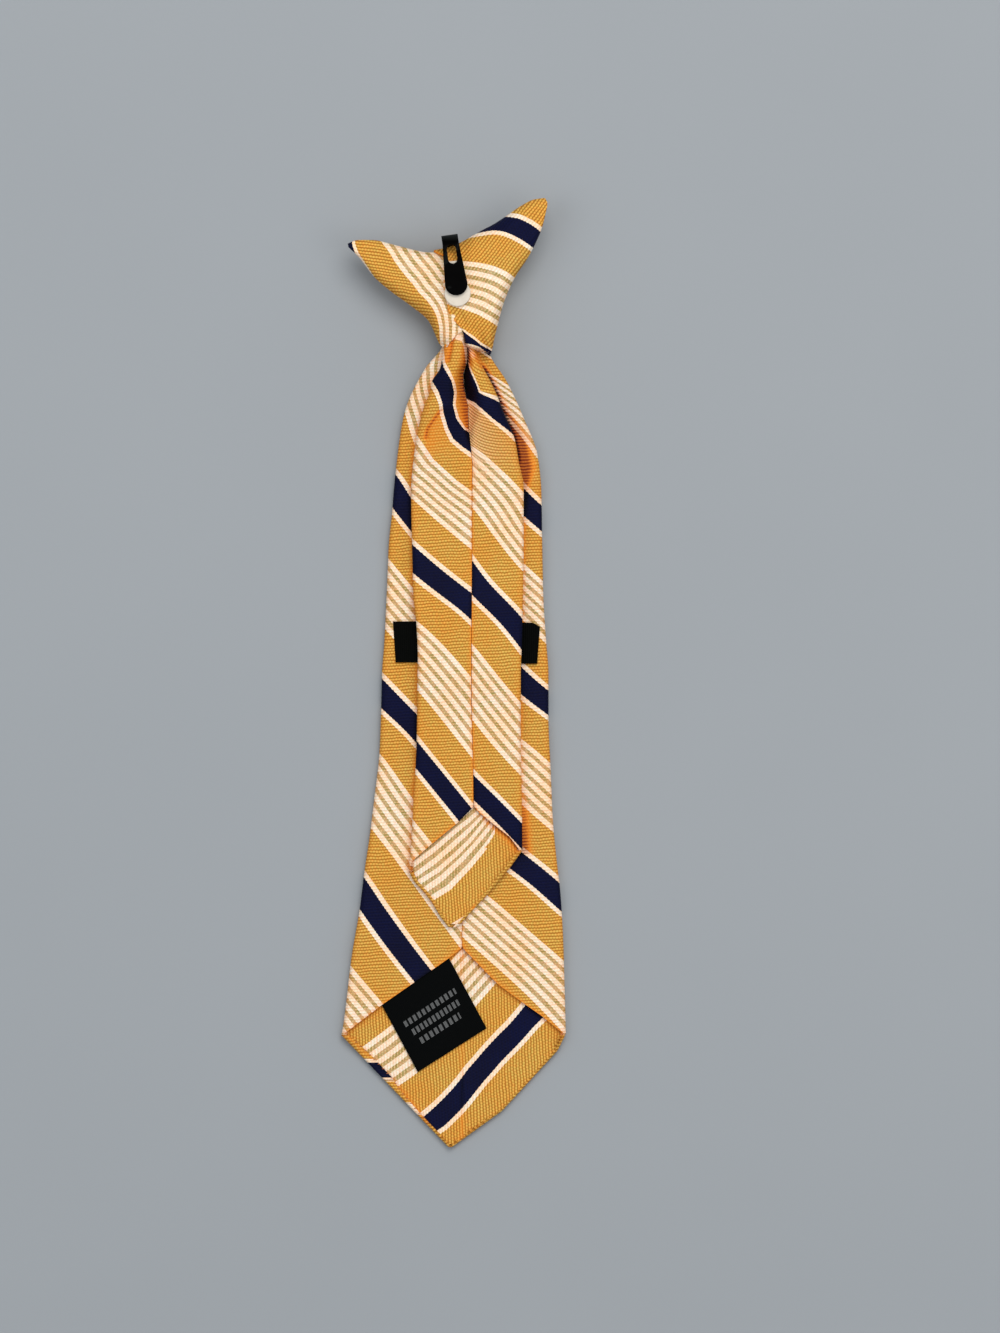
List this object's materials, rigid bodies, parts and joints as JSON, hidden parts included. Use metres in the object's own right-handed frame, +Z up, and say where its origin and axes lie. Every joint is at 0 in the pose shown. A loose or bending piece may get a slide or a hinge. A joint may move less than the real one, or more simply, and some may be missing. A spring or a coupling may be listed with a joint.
{
  "type": "clip-on necktie",
  "caption": "Child's clip-on necktie lying on its front: tied knot with a clip on its back, folded blade, tail, keeper band and blank label.",
  "frame": {"origin": "middle of the tie's footprint, on the surface that it lies on", "axes": "+Z up, out of the tie's back; +Y along the tie from the blade's point to the knot; +X to the right seen from above, with the back up"},
  "size_m": [0.0696, 0.2942, 0.0174],
  "materials": {
    "striped_cloth": "woven twill with orange, navy and white diagonal stripes and a slight satin sheen",
    "black_ribbon": "plain woven black ribbon",
    "label_cloth": null,
    "clip_steel": "smooth black enamel on spring steel",
    "pale_plastic": "ivory moulded pad"
  },
  "bodies": {
    "root": {"front_blade": "striped_cloth", "front_facing": "striped_cloth", "tail_blade": "striped_cloth", "tail_facing": "striped_cloth", "knot_wrap": "striped_cloth", "keeper_band": "black_ribbon", "care_label": "label_cloth", "collar_clip": "clip_steel", "clip_pad": "pale_plastic"}
  },
  "joints": []
}
